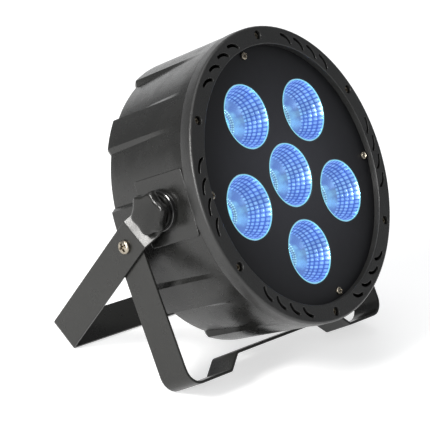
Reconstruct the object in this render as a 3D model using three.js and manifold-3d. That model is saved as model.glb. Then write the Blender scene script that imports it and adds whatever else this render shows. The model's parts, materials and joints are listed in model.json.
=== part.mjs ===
// LED flat par light: a shallow round housing with six reflector lamps, hung in two strap yokes.
// Millimetres, +Z up, the lens side faces -Y.  The light stands on its two opened yokes, tilted up.
// Two local frames are used.  Can frame: X to the right, Y the depth behind the bezel's face and Z
// up the face.  Yoke frame: the pivot is the origin and the arms run down -Z.

import * as THREE from 'three';
import { mergeVertices } from 'three/addons/utils/BufferGeometryUtils.js';
import Module from 'manifold-3d';

const wasm = await Module();
wasm.setup();

// ---------------------------------------------------------------- driving dimensions

const GAP = 0.3;                 // clearance between pieces that rest on each other
const FINE = 48;                 // segments round the large rings
const MEDIUM = 20;               // segments round lamp-size pieces
const COARSE = 10;               // segments round bosses and pins
const TINY = 8;                  // segments round screws and their holes
const SPAN = 150;                // half length of a tool that cuts both arms of a yoke

const can = {
  frontRadius: 109.2,            // collar behind the bezel
  radius: 107,                   // raised panels at the rear rim
  recessRadius: 103,             // recessed panels at the rear rim
  depth: 88,
  wall: 2.6,
  collar: 16,                    // depth at which the panels begin
  rimChamfer: 3,
  pivotDepth: 38,
  padHalf: 24,                   // flat pad that the yoke bears on
  padFront: 11,
  padRear: 56,
  padFace: 108.2,
};
const bezel = {
  radius: 110, face: 107.8, opening: 96, depth: 10, skin: 2.6, screwCircle: 103, wellDepth: 4,
};
const panel = { radius: 98.7, front: 5.5, thickness: 2, screwCircle: 91.8 };
const lamp = { opening: 23.7, base: 9.5, rearDepth: 31, circle: 56.7, firstAngle: 122.7, ring: 5 };
const yoke = { strap: 25, thickness: 2, hole: 4.3, screwHole: 2.7 };
const main = {
  upperFace: 114.8,              // outer face of the strap at the pivot
  lowerFace: 121.3,              // outer face below the joggle
  joggleStart: 11.5,
  joggleEnd: 21.8,
  reach: 132.2,                  // pivot to the outer face of the base
  bend: 3,
  lean: 27.7,                    // degrees behind the vertical
  clampHole: 6.25,
};
const stand = {
  face: 118.8,
  offset: 34.4,                  // distance from the tilt pivot to the stand's pivot
  reach: 106,                    // stand's pivot to the outer face of its feet
  raise: 10.5,                   // height of the raised middle of the base
  raiseOuter: 73,
  raiseInner: 61,
  bend: 13,
};
const tilt = 32;                 // degrees that the lens axis points up
const knob = {
  radius: 15.8, flute: 2, lobes: 6, hub: 9, hubLength: 2.4, length: 7.4, stud: 4, studReach: 5.5,
};
const insert = { radius: 6, flange: 8.5, rear: 92, front: 107 };
const rear = { cover: 93, coverDepth: 85.3, coverThickness: 2, ledge: 82, screwCircle: 88 };
const coverFace = rear.coverDepth + rear.coverThickness;
const socket = { x: 52, z: -28, flange: 13, cavity: 9.3, depth: 14, front: 66 };
const inlet = { z: -60, width: 27, height: 20, flangeWidth: 50, front: 64 };
const fuse = { x: 36, z: -59, radius: 6.2 };
const buttons = { count: 4, pitch: 16, z: 30, radius: 3.4, travel: 1, collar: 1.4 };
const screen = { z: 52, width: 34, height: 16 };
const board = { depth: 77, thickness: 1.6 };
const eye = { x: 0, z: 72, half: 9, wire: 2.4, height: 20 };
const screwBore = 1.8;           // clearance round a 3 mm screw
const threadEnd = 22;            // depth of the blind screw holes behind the bezel

const colour = {
  shell: 0x1d1d1e, bezel: 0x232324, panel: 0x17171c, strap: 0x30302f, nickel: 0x8d8678,
  knob: 0x1a1a1a, reflector: 0x6f86d8, led: 0xbfe6ff, board: 0x20603a, aluminium: 0xa9abae,
  steel: 0x9a9ca0, cover: 0x1b1b1c, screen: 0x0c1118, socket: 0x26272a, brass: 0xb08d4a,
};

// ---------------------------------------------------------------- helpers

const radians = THREE.MathUtils.degToRad;
const polar = (radius, degrees) => new THREE.Vector2(
  radius * Math.cos(radians(degrees)), radius * Math.sin(radians(degrees)));
const range = (count) => Array.from({ length: count }, (_, index) => index);

/** Turns a closed geometry into a manifold solid whose faces point out. */
function solid(geometry) {
  geometry.deleteAttribute('normal');
  geometry.deleteAttribute('uv');
  const merged = mergeVertices(geometry, 1e-4);
  const position = merged.getAttribute('position');
  const corner = (index) => new THREE.Vector3().fromBufferAttribute(position, index);
  const triangles = [];
  let volume = 0;
  for (let start = 0; start < merged.index.count; start += 3) {
    const [a, b, c] = [0, 1, 2].map((step) => merged.index.getX(start + step));
    if (a !== b && b !== c && c !== a) {
      triangles.push([a, b, c]);
      volume += corner(a).dot(corner(b).cross(corner(c)));
    }
  }
  const outward = volume < 0 ? triangles.map(([a, b, c]) => [a, c, b]) : triangles;
  return new wasm.Manifold(new wasm.Mesh({
    numProp: 3,
    vertProperties: Float32Array.from(position.array),
    triVerts: Uint32Array.from(outward.flat()),
  }));
}

/** Names a solid, gives it its material and returns the mesh. */
function piece(name, shape, color, roughness, metalness) {
  const result = shape.getMesh();
  const geometry = new THREE.BufferGeometry();
  geometry.setAttribute('position', new THREE.BufferAttribute(result.vertProperties, 3));
  geometry.setIndex(new THREE.BufferAttribute(result.triVerts, 1));
  geometry.computeVertexNormals();
  const material = new THREE.MeshStandardMaterial({ color, roughness, metalness });
  const mesh = new THREE.Mesh(geometry, material);
  mesh.name = name;
  return mesh;
}

/** Solid turned about the depth axis from [radius, depth] pairs. */
function turned(pairs, segments) {
  const closed = [...pairs, pairs[0]].map(([radius, depth]) => new THREE.Vector2(radius, depth));
  return solid(new THREE.LatheGeometry(closed, segments));
}

/** Plate of a shape drawn on the can's face, from one depth rearwards. */
function plate(shape, depth, thickness, curveSegments = COARSE) {
  const geometry = new THREE.ExtrudeGeometry(
    shape, { depth: thickness, bevelEnabled: false, curveSegments });
  geometry.rotateX(Math.PI / 2);
  geometry.translate(0, depth + thickness, 0);
  return solid(geometry);
}

/** Round bar along the depth axis. */
function bar(radius, x, z, from, to, segments = COARSE) {
  const geometry = new THREE.CylinderGeometry(radius, radius, to - from, segments);
  geometry.translate(x, (from + to) / 2, z);
  return solid(geometry);
}

/** Round bar along X, centred on a point of the YZ plane. */
function crossBar(radius, from, to, y, z, segments = COARSE) {
  const geometry = new THREE.CylinderGeometry(radius, radius, Math.abs(to - from), segments);
  geometry.rotateZ(Math.PI / 2);
  geometry.translate((from + to) / 2, y, z);
  return solid(geometry);
}

/** Rectangular block given by its limits. */
function block([x0, x1], [y0, y1], [z0, z1]) {
  const geometry = new THREE.BoxGeometry(Math.abs(x1 - x0), Math.abs(y1 - y0), Math.abs(z1 - z0));
  geometry.translate((x0 + x1) / 2, (y0 + y1) / 2, (z0 + z1) / 2);
  return solid(geometry);
}

const joined = (parts) => parts.reduce((whole, part) => whole.add(part));
const cut = (body, tools) => tools.reduce((rest, tool) => rest.subtract(tool), body);
const moved = (shape, x, y, z) => shape.translate(x, y, z);

function rectangle(width, height, x = 0, z = 0) {
  return new THREE.Shape()
    .moveTo(x - width / 2, z - height / 2)
    .lineTo(x + width / 2, z - height / 2)
    .lineTo(x + width / 2, z + height / 2)
    .lineTo(x - width / 2, z + height / 2)
    .closePath();
}

/** Screw pointing rearwards, with the underside of its tapered head at depth 0. */
function screw(headRadius, headHeight, shankRadius, length) {
  return turned([
    [0, -headHeight], [0.75 * headRadius, -headHeight], [headRadius, 0],
    [shankRadius, 0], [shankRadius, length], [0, length],
  ], TINY);
}

// ---------------------------------------------------------------- front: bezel, panel, lamps

const bezelScrewAngles = range(6).map((index) => 90 - 60 * index);
const panelScrewAngles = [0, 100.1, 180, 280.1];

/** Curved vent slot that sweeps from the rim towards the opening. */
function ventSlot(centre) {
  const ends = { outer: 104.3, middle: 103.9, inner: 99.4, sweep: 2.8, half: 1.15 };
  const line = new THREE.QuadraticBezierCurve(
    polar(ends.outer, centre + ends.sweep),
    polar(ends.middle, centre - 0.4 * ends.sweep),
    polar(ends.inner, centre - ends.sweep));
  const side = (t, sign) => {
    const tangent = line.getTangent(t);
    const point = line.getPoint(t);
    return new THREE.Vector2(-tangent.y, tangent.x).multiplyScalar(sign * ends.half).add(point);
  };
  const tip = (t, sign) => line.getTangent(t).multiplyScalar(sign * ends.half).add(line.getPoint(t));
  const steps = [0, 0.5, 1];
  const outline = [
    ...steps.map((t) => side(t, 1)), tip(1, 1),
    ...steps.map((t) => side(1 - t, -1)), tip(0, -1),
  ];
  return plate(new THREE.Shape(outline), -1, bezel.skin + 2);
}

function frontBezel() {
  const { radius, face, opening, depth, skin } = bezel;
  const lip = panel.front - GAP;
  const lipWall = 1.9;
  const shoulder = range(3).map((step) => {
    const turn = radians(45 * step);
    return [face + (radius - face) * Math.sin(turn), 2.4 * (1 - Math.cos(turn))];
  });
  const ring = turned([
    [opening, 0.8], [opening + 0.8, 0], ...shoulder, [radius, depth], [radius - skin, depth],
    [radius - skin, skin], [opening + lipWall, skin], [opening + lipWall, lip], [opening, lip],
  ], FINE);
  const seats = bezelScrewAngles.map((angle) => polar(bezel.screwCircle, angle));
  const posts = seats.map(({ x, y }) => bar(3.9, x, y, skin - 1, depth));
  const wells = seats.map(({ x, y }) => bar(3.4, x, y, -1, bezel.wellDepth));
  const holes = seats.map(({ x, y }) => bar(screwBore, x, y, bezel.wellDepth - 1, depth + 1, TINY));
  const slots = bezelScrewAngles.flatMap((angle) =>
    range(4).map((index) => ventSlot(angle - 30 + 8.15 * (index - 1.5))));
  const shape = cut(joined([ring, ...posts]), [...wells, ...holes, ...slots]);
  return piece('front_bezel', shape, colour.bezel, 0.55, 0);
}

const lampCentres = [
  new THREE.Vector2(0, 0),
  ...range(lamp.ring).map((index) => polar(lamp.circle, lamp.firstAngle + 72 * index)),
];

function frontPanel() {
  const back = panel.front + panel.thickness;
  const sheet = bar(panel.radius, 0, 0, panel.front, back, FINE);
  const lampHoles = lampCentres.map(({ x, y }) => bar(lamp.opening, x, y, 0, back + 5, MEDIUM));
  const screwHoles = panelScrewAngles.map((angle) => {
    const { x, y } = polar(panel.screwCircle, angle);
    return bar(screwBore, x, y, 0, back + 5, TINY);
  });
  return piece('front_panel', cut(sheet, [...lampHoles, ...screwHoles]), colour.panel, 0.4, 0.2);
}

function reflector(index) {
  const wall = 1.1;
  const nose = panel.front + 0.2;
  const rim = lamp.opening - GAP;
  const back = panel.front + panel.thickness + GAP;
  const bowl = (share) => new THREE.Vector2(
    THREE.MathUtils.lerp(lamp.base, rim - 0.7, Math.sqrt(share)),
    THREE.MathUtils.lerp(lamp.rearDepth, nose, share));
  const inside = [1, 0.45, 0.15, 0].map(bowl);
  const outside = [0.15, 0.45].map((share) => bowl(share).add(new THREE.Vector2(wall, wall)));
  const shape = turned([
    ...inside.map((point) => point.toArray()), [lamp.base + wall, lamp.rearDepth],
    ...outside.map((point) => point.toArray()), [rim + 2.2, back + 1.5],
    [rim + 2.2, back], [rim, back], [rim, nose],
  ], MEDIUM);
  const { x, y } = lampCentres[index];
  return piece(`reflector_${index + 1}`, moved(shape, x, 0, y), colour.reflector, 0.15, 1);
}

function led(index) {
  const seat = lamp.rearDepth + GAP;
  const shape = turned([
    [0, seat - 0.7], [7.6, seat - 0.7], [8, seat], [11, seat], [11, seat + 1.2], [0, seat + 1.2],
  ], COARSE);
  const { x, y } = lampCentres[index];
  return piece(`led_cob_${index + 1}`, moved(shape, x, 0, y), colour.led, 0.4, 0);
}

const ledBoardThickness = 1.6;
const boardFront = lamp.rearDepth + 1.5 + 2 * GAP;
const sinkFront = boardFront + ledBoardThickness + GAP;

function ledBoard() {
  const disc = bar(84, 0, 0, boardFront, boardFront + ledBoardThickness, FINE);
  return piece('led_board', disc, colour.board, 0.5, 0.1);
}

function heatSink() {
  const size = { half: 62, base: 4, fin: 17, fins: 12, finThickness: 2.2 };
  const pitch = (2 * size.half - size.finThickness) / (size.fins - 1);
  const comb = [[-size.half, 0], [size.half, 0]];
  for (const index of range(size.fins).reverse()) {
    const left = -size.half + pitch * index;
    const right = left + size.finThickness;
    comb.push([right, size.base], [right, size.base + size.fin]);
    comb.push([left, size.base + size.fin], [left, size.base]);
  }
  const outline = comb.filter(([x, y], index) => {
    const [lastX, lastY] = comb[(index + comb.length - 1) % comb.length];
    return x !== lastX || y !== lastY;
  });
  const shape = new THREE.Shape(outline.map(([x, y]) => new THREE.Vector2(x, y)));
  const height = 104;
  const geometry = new THREE.ExtrudeGeometry(shape, { depth: height, bevelEnabled: false });
  geometry.translate(0, sinkFront, -height / 2);
  return piece('heat_sink', solid(geometry), colour.aluminium, 0.35, 1);
}

// ---------------------------------------------------------------- housing

/** Panels round one quarter of the can, in degrees from the top: raised bands and their steps. */
const raisedBands = [[0, 24], [48, 60], [87, 93], [120, 132], [156, 180]];
const stepWidth = 3;

/** Share of the recess at an angle from the top of the can: 0 on a raised band, 1 on a recess. */
function recessShare(fromTop) {
  const distance = raisedBands.map(([start, end]) => Math.max(start - fromTop, fromTop - end, 0));
  return Math.min(Math.min(...distance) / stepWidth, 1);
}

/** Outside of the can, which tapers from the collar to the rear rim while its recesses sink. */
function canSkin(from, segments) {
  const chamfer = can.rimChamfer;
  const stations = [from, can.collar, can.depth - chamfer, can.depth];
  const geometry = new THREE.LatheGeometry([
    new THREE.Vector2(0, from),
    ...stations.map((depth) => new THREE.Vector2(can.frontRadius, depth)),
    new THREE.Vector2(0, can.depth),
  ], segments);
  const position = geometry.getAttribute('position');
  for (let index = 0; index < position.count; index += 1) {
    const [x, depth, z] = [position.getX(index), position.getY(index), position.getZ(index)];
    const radius = Math.hypot(x, z);
    if (radius < 1) continue;
    const fromTop = THREE.MathUtils.radToDeg(Math.acos(THREE.MathUtils.clamp(z / radius, -1, 1)));
    const slope = THREE.MathUtils.clamp((depth - can.collar) / (can.depth - can.collar), 0, 1);
    const sink = slope * THREE.MathUtils.lerp(
      can.frontRadius - can.radius, can.frontRadius - can.recessRadius, recessShare(fromTop));
    const trim = Math.max(0, depth - (can.depth - chamfer));
    const scale = (radius - sink - trim) / radius;
    position.setXYZ(index, x * scale, depth, z * scale);
  }
  return solid(geometry);
}

function housing() {
  const front = bezel.depth + GAP;
  const seat = panel.front + panel.thickness + GAP;
  const flange = { inner: 87, thickness: 2.5 };
  const rimEnd = front + flange.thickness;
  const innerFront = can.radius - can.wall;
  const innerRear = can.recessRadius - can.wall;
  const coverSeat = rear.coverDepth - GAP;
  const hollow = turned([
    [0, front - 1], [flange.inner, front - 1], [flange.inner, rimEnd], [innerFront, rimEnd],
    [innerFront, can.collar + 2], [innerRear, coverSeat - 2.5], [rear.ledge, coverSeat - 2.5],
    [rear.ledge, coverSeat], [rear.cover + GAP, coverSeat], [rear.cover + GAP, can.depth + 1],
    [0, can.depth + 1],
  ], FINE);
  const seatRing = turned([
    [flange.inner, seat], [panel.radius, seat], [panel.radius, rimEnd], [flange.inner, rimEnd],
  ], FINE);
  const padBlocks = (from, to) => [-1, 1].map((side) => block(
    [side * from, side * to], [can.padFront, can.padRear], [-can.padHalf, can.padHalf]));
  const pads = padBlocks(can.padFace - 12, can.padFace);
  const flats = padBlocks(can.padFace, can.padFace + 12);
  const skin = cut(joined([canSkin(front, 120), ...pads]), flats);
  const bosses = bezelScrewAngles.map((angle) => {
    const { x, y } = polar(bezel.screwCircle - 0.5, angle);
    return bar(3.6, x, y, rimEnd - 1, threadEnd + 4, TINY);
  });
  const insertPads = [-1, 1].map((side) =>
    crossBar(12, side * insert.rear, side * 104, can.pivotDepth, 0, COARSE));
  const screwHoles = (angles, circle, from, to) => angles.map((angle) => {
    const { x, y } = polar(circle, angle);
    return bar(screwBore, x, y, from, to, TINY);
  });
  const bezelHoles = screwHoles(bezelScrewAngles, bezel.screwCircle, 5, threadEnd);
  const panelHoles = screwHoles(panelScrewAngles, panel.screwCircle, 5, threadEnd);
  const coverHoles = screwHoles(rearScrewAngles, rear.screwCircle, 75, 95);
  const vent = { inner: 99.6, outer: 103.6, margin: 10 };
  const vents = range(6).map((index) => {
    const start = radians(60 * index + vent.margin);
    const end = radians(60 * (index + 1) - vent.margin);
    const arc = new THREE.Shape()
      .absarc(0, 0, vent.outer, start, end, false)
      .absarc(0, 0, vent.inner, end, start, true);
    return plate(arc, front - 1, flange.thickness + 2, 4);
  });
  const insertBores = [-1, 1].map((side) =>
    crossBar(insert.radius + GAP, side * 80, side * 110, can.pivotDepth, 0, COARSE));
  const shell = joined([cut(skin, [hollow]), seatRing, ...bosses, ...insertPads]);
  const shape = cut(shell, [...bezelHoles, ...panelHoles, ...coverHoles, ...vents, ...insertBores]);
  return piece('housing', shape, colour.shell, 0.45, 0);
}

// ---------------------------------------------------------------- rear cover and electrics

const rearScrewAngles = [45, 135, 225, 315];
const buttonX = (index) => buttons.pitch * (index - 1.5);

function rearCover() {
  const from = rear.coverDepth - 5;
  const to = coverFace + 5;
  const window = ({ width, height, z }) =>
    plate(rectangle(width + 2 * GAP, height + 2 * GAP, 0, z), from, to - from);
  const screws = rearScrewAngles.map((angle) => polar(rear.screwCircle, angle));
  const holes = [
    ...range(buttons.count).map((index) =>
      bar(buttons.radius + GAP, buttonX(index), buttons.z, from, to)),
    ...[-1, 1].map((side) => bar(socket.flange - 1.5, side * socket.x, socket.z, from, to, 24)),
    ...screws.map(({ x, y }) => bar(screwBore + GAP, x, y, from, to, TINY)),
    ...[-1, 1].map((side) => bar(eye.wire + GAP, eye.x + side * eye.half, eye.z, from, to)),
    window(screen),
    window(inlet),
    bar(fuse.radius + 0.4, fuse.x, fuse.z, from, to),
  ];
  const sheet = bar(rear.cover, 0, 0, rear.coverDepth, coverFace, FINE);
  return piece('rear_cover', cut(sheet, holes), colour.cover, 0.5, 0.3);
}

function dmxIn() {
  const face = coverFace + GAP;
  const body = turned([
    [0, socket.front], [socket.flange - 2, socket.front], [socket.flange - 2, face],
    [socket.flange, face], [socket.flange, face + 1.5], [socket.flange - 1.5, face + 2],
    [socket.cavity, face + 2],
    [socket.cavity, face + 2 - socket.depth], [0, face + 2 - socket.depth],
  ], MEDIUM);
  const pins = [30, 150, 270].map((angle) => {
    const { x, y } = polar(5.6, angle);
    return bar(1.2, x, y, face - socket.depth, face - 1.5, TINY);
  });
  return piece('dmx_in', moved(joined([body, ...pins]), -socket.x, 0, socket.z), colour.socket, 0.4, 0);
}

function dmxOut() {
  const face = coverFace + GAP;
  const groove = { inner: socket.cavity - 1.1, outer: socket.cavity + 0.9, floor: face - 10 };
  const body = turned([
    [0, socket.front], [socket.flange - 2, socket.front], [socket.flange - 2, face],
    [socket.flange, face], [socket.flange, face + 1.5], [socket.flange - 1.5, face + 2],
    [groove.outer, face + 2], [groove.outer, groove.floor], [groove.inner, groove.floor],
    [groove.inner, face + 1], [0, face + 1],
  ], MEDIUM);
  const holes = [30, 150, 270].map((angle) => {
    const { x, y } = polar(5, angle);
    return bar(1.4, x, y, groove.floor, face + 3, TINY);
  });
  return piece('dmx_out', moved(cut(body, holes), socket.x, 0, socket.z), colour.socket, 0.4, 0);
}

function powerInlet() {
  const face = coverFace + GAP;
  const ears = new THREE.Shape()
    .moveTo(-inlet.flangeWidth / 2, -7)
    .lineTo(-inlet.width / 2 - 1, -12)
    .lineTo(inlet.width / 2 + 1, -12)
    .lineTo(inlet.flangeWidth / 2, -7)
    .lineTo(inlet.flangeWidth / 2, 7)
    .lineTo(inlet.width / 2 + 1, 12)
    .lineTo(-inlet.width / 2 - 1, 12)
    .lineTo(-inlet.flangeWidth / 2, 7)
    .closePath();
  const flange = plate(ears, face, 2.4);
  const body = plate(rectangle(inlet.width, inlet.height), inlet.front, face - inlet.front + 1);
  const mouth = new THREE.Shape()
    .moveTo(-12, -8)
    .lineTo(12, -8)
    .lineTo(12, 3.5)
    .lineTo(8, 8)
    .lineTo(-8, 8)
    .lineTo(-12, 3.5)
    .closePath();
  const cavity = plate(mouth, face - 15, 20);
  const blades = [[-7, -2], [0, 2], [7, -2]].map(([x, z]) =>
    block([x - 1, x + 1], [face - 16, face - 2], [z - 2, z + 2]));
  const shape = joined([cut(joined([flange, body]), [cavity]), ...blades]);
  return piece('power_inlet', moved(shape, 0, 0, inlet.z), colour.socket, 0.5, 0);
}

function fuseHolder() {
  const face = coverFace + GAP;
  const { radius } = fuse;
  const body = turned([
    [0, socket.front], [radius, socket.front], [radius, face], [radius + 1.8, face],
    [radius + 1.8, face + 1.6], [radius + 0.4, face + 1.6], [radius, face + 5], [0, face + 5],
  ], COARSE);
  const slot = block([-4.5, 4.5], [face + 3.8, face + 8], [-0.6, 0.6]);
  const shape = moved(cut(body, [slot]), fuse.x, 0, fuse.z);
  return piece('fuse_holder', shape, colour.socket, 0.45, 0);
}

/** Bent steel wire loop whose legs pass through the cover and end in heads behind it. */
function safetyEye() {
  const { half, wire, height } = eye;
  const start = rear.coverDepth - 4;
  const top = coverFace + height - half;
  const arc = range(9).map((step) => {
    const turn = Math.PI * (step / 8);
    return new THREE.Vector3(-half * Math.cos(turn), top + half * Math.sin(turn), 0);
  });
  const curve = new THREE.CatmullRomCurve3([
    new THREE.Vector3(-half, start, 0), new THREE.Vector3(-half, (start + top) / 2, 0), ...arc,
    new THREE.Vector3(half, (start + top) / 2, 0), new THREE.Vector3(half, start, 0),
  ]);
  const section = new THREE.Shape().absarc(0, 0, wire, 0, 2 * Math.PI);
  const geometry = new THREE.ExtrudeGeometry(section, {
    steps: 16, extrudePath: curve, curveSegments: 4, bevelEnabled: false,
  });
  const nuts = [-1, 1].map((side) => bar(4.4, side * half, 0, start - 1, rear.coverDepth - GAP, 6));
  const shape = moved(joined([solid(geometry), ...nuts]), eye.x, 0, eye.z);
  return piece('safety_eye', shape, colour.steel, 0.35, 1);
}

function displayWindow() {
  const rim = { width: 6, thickness: 1.2 };
  const rimDepth = rear.coverDepth - GAP - rim.thickness;
  const back = 82;
  const glass = plate(rectangle(screen.width, screen.height), coverFace - 1.6, 2);
  const frame = plate(
    rectangle(screen.width + rim.width, screen.height + rim.width), rimDepth, rim.thickness);
  const core = plate(rectangle(screen.width - 4, screen.height - 4), back, coverFace - 1.3 - back);
  const shape = moved(joined([glass, frame, core]), 0, 0, screen.z);
  return piece('display_window', shape, colour.screen, 0.1, 0);
}

function controlBoard() {
  const sheet = plate(rectangle(84, 52, 0, 42), board.depth, board.thickness);
  const display = plate(rectangle(26, 9, 0, screen.z), board.depth + 1, 3.6);
  return piece('control_board', joined([sheet, display]), colour.board, 0.5, 0.1);
}

function menuButton(index) {
  const { radius, travel, collar } = buttons;
  const stem = board.depth + board.thickness + 2 * GAP + travel;
  const shoulder = rear.coverDepth - GAP;
  const front = coverFace + 1.8;
  const shape = turned([
    [0, stem], [1.8, stem], [1.8, stem + 2.4], [radius + collar, stem + 2.4],
    [radius + collar, shoulder], [radius, shoulder], [radius, front], [0, front],
  ], COARSE);
  const mesh = piece(`menu_button_${index + 1}`, shape, colour.knob, 0.5, 0);
  return placed(mesh, buttonX(index), 0, buttons.z);
}

function powerSupply() {
  const size = { x: [-36, 36], y: [61, 82.5], z: [-42, 12] };
  const channel = { count: 7, pitch: 10, half: 1.5, depth: 4, margin: 6 };
  const box = block(size.x, size.y, size.z);
  const channels = range(channel.count).map((index) => {
    const x = channel.pitch * (index - (channel.count - 1) / 2);
    return block(
      [x - channel.half, x + channel.half],
      [size.y[0] - 1, size.y[0] + channel.depth],
      [size.z[0] + channel.margin, size.z[1] - channel.margin]);
  });
  return piece('power_supply', cut(box, channels), colour.steel, 0.4, 0.9);
}

// ---------------------------------------------------------------- yokes

/** Line offset to the inside of a bent strap, with mitred corners. */
function offsetLine(points, distance) {
  const normals = points.slice(1).map((point, index) => {
    const along = point.clone().sub(points[index]).normalize();
    return new THREE.Vector2(-along.y, along.x);
  });
  return points.map((point, index) => {
    const before = normals[Math.max(index - 1, 0)];
    const after = normals[Math.min(index, normals.length - 1)];
    const mitre = before.clone().add(after).divideScalar(1 + before.dot(after));
    return point.clone().addScaledVector(mitre, distance);
  });
}

/** Points of a rounded corner between two straight runs. */
function corner(before, at, after, radius, steps) {
  const inward = before.clone().sub(at).normalize();
  const outward = after.clone().sub(at).normalize();
  const half = Math.acos(THREE.MathUtils.clamp(inward.dot(outward), -1, 1)) / 2;
  const reach = radius / Math.tan(half);
  const centre = inward.clone().add(outward).normalize().multiplyScalar(radius / Math.sin(half)).add(at);
  const start = inward.multiplyScalar(reach).add(at).sub(centre);
  const end = outward.multiplyScalar(reach).add(at).sub(centre);
  const sweep = Math.atan2(start.cross(end), start.dot(end));
  return range(steps + 1).map((step) =>
    start.clone().rotateAround(new THREE.Vector2(), (sweep * step) / steps).add(centre));
}

/** Strap bent along the outer-face line of its left half, mirrored, with half-round ends. */
function strap(leftHalf) {
  const right = leftHalf.map((point) => new THREE.Vector2(-point.x, point.y)).reverse();
  const outer = [...leftHalf, ...right];
  const inner = offsetLine(outer, yoke.thickness);
  const shape = new THREE.Shape([...outer, ...inner.reverse()]);
  const geometry = new THREE.ExtrudeGeometry(shape, { depth: yoke.strap, bevelEnabled: false });
  geometry.rotateX(Math.PI / 2);
  geometry.translate(0, yoke.strap / 2, 0);
  const half = yoke.strap / 2;
  const arch = new THREE.Shape()
    .moveTo(-half - 1, half + 1)
    .lineTo(-half - 1, 0)
    .lineTo(-half, 0)
    .absarc(0, 0, half, Math.PI, 0, true)
    .lineTo(half + 1, 0)
    .lineTo(half + 1, half + 1)
    .closePath();
  const cutter = new THREE.ExtrudeGeometry(
    arch, { depth: 2 * SPAN, bevelEnabled: false, curveSegments: 6 });
  cutter.rotateY(Math.PI / 2);
  cutter.rotateX(Math.PI / 2);
  cutter.translate(-SPAN, 0, 0);
  return cut(solid(geometry), [solid(cutter)]);
}

function mainYoke() {
  const { upperFace, lowerFace, joggleStart, joggleEnd, reach, bend } = main;
  const top = yoke.strap / 2;
  const base = new THREE.Vector2(-lowerFace, -reach);
  const arm = new THREE.Vector2(-lowerFace, -joggleEnd);
  const leftHalf = [
    new THREE.Vector2(-upperFace, top),
    new THREE.Vector2(-upperFace, -joggleStart),
    arm,
    ...corner(arm, base, new THREE.Vector2(0, -reach), bend, 4),
  ];
  const body = strap(leftHalf);
  const pivotHole = crossBar(yoke.hole, -SPAN, SPAN, 0, 0, 24);
  const standHole = crossBar(yoke.screwHole, -SPAN, SPAN, 0, -stand.offset);
  const clampHole = solid(new THREE.CylinderGeometry(main.clampHole, main.clampHole, 10, 24)
    .rotateX(Math.PI / 2).translate(0, 0, -reach));
  return piece('main_yoke', cut(body, [pivotHole, standHole, clampHole]), colour.strap, 0.45, 0.4);
}

function standYoke() {
  const { face, reach, raise, raiseOuter, raiseInner, bend } = stand;
  const top = yoke.strap / 2;
  const armTop = new THREE.Vector2(-face, top);
  const foot = new THREE.Vector2(-face, -reach);
  const slopeFoot = new THREE.Vector2(-raiseOuter, -reach);
  const leftHalf = [
    armTop,
    ...corner(armTop, foot, slopeFoot, bend, 8),
    slopeFoot,
    new THREE.Vector2(-raiseInner, -reach + raise),
  ];
  const body = strap(leftHalf);
  const hole = crossBar(yoke.screwHole, -SPAN, SPAN, 0, 0);
  return piece('stand_yoke', cut(body, [hole]), colour.strap, 0.45, 0.4);
}

/** Turns a rearward-pointing screw so that it points along X towards the can. */
function sideways(shape, side) {
  return side < 0 ? shape.rotate([0, 0, -90]) : shape.rotate([0, 0, 90]);
}

function standScrew(side) {
  const shape = sideways(screw(4.9, 3, 2.5, 11.8), side);
  const x = side * (main.lowerFace + GAP);
  const seated = moved(shape, x, 0, -stand.offset);
  return piece(`stand_screw_${sideName(side)}`, seated, colour.nickel, 0.35, 1);
}

function standNut(side) {
  const inner = stand.face - yoke.thickness - GAP;
  const hexagon = crossBar(4.6, side * (inner - 4.5), side * inner, 0, 0, 6);
  const collar = crossBar(3.9, side * (inner - 6), side * (inner - 4), 0, 0, 12);
  const bore = crossBar(2.5 + GAP, side * (inner - 8), side * (inner + 2), 0, 0);
  const shape = cut(joined([hexagon, collar]), [bore]);
  return piece(`stand_nut_${sideName(side)}`, shape, colour.steel, 0.4, 1);
}

const sideName = (side) => (side < 0 ? 'left' : 'right');

// ---------------------------------------------------------------- tilt pivots

const washer = { radius: 14.6, inner: can.padFace + GAP, outer: main.upperFace - yoke.thickness - GAP };
const knobSeat = main.upperFace + GAP;

function pivotWasher(side) {
  const ring = crossBar(washer.radius, side * washer.inner, side * washer.outer, 0, 0, MEDIUM);
  const bore = crossBar(4.6, side * 100, side * 120, 0, 0);
  return piece(`pivot_washer_${sideName(side)}`, cut(ring, [bore]), colour.knob, 0.3, 0);
}

function threadedInsert(side) {
  const flange = crossBar(
    insert.flange, side * (insert.rear - 3), side * (insert.rear - GAP), 0, 0);
  const barrel = crossBar(insert.radius, side * (insert.rear - 2), side * insert.front, 0, 0);
  const bore = crossBar(knob.stud + GAP, side * 80, side * 112, 0, 0);
  const shape = cut(joined([flange, barrel]), [bore]);
  return piece(`threaded_insert_${sideName(side)}`, shape, colour.brass, 0.35, 1);
}

function knobStud(side) {
  const tip = crossBar(knob.stud - 0.8, side * 87.5, side * 89.5, 0, 0);
  const thread = crossBar(knob.stud, side * 89, side * (knobSeat + knob.studReach), 0, 0);
  return piece(`knob_stud_${sideName(side)}`, joined([tip, thread]), colour.steel, 0.35, 1);
}

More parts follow.
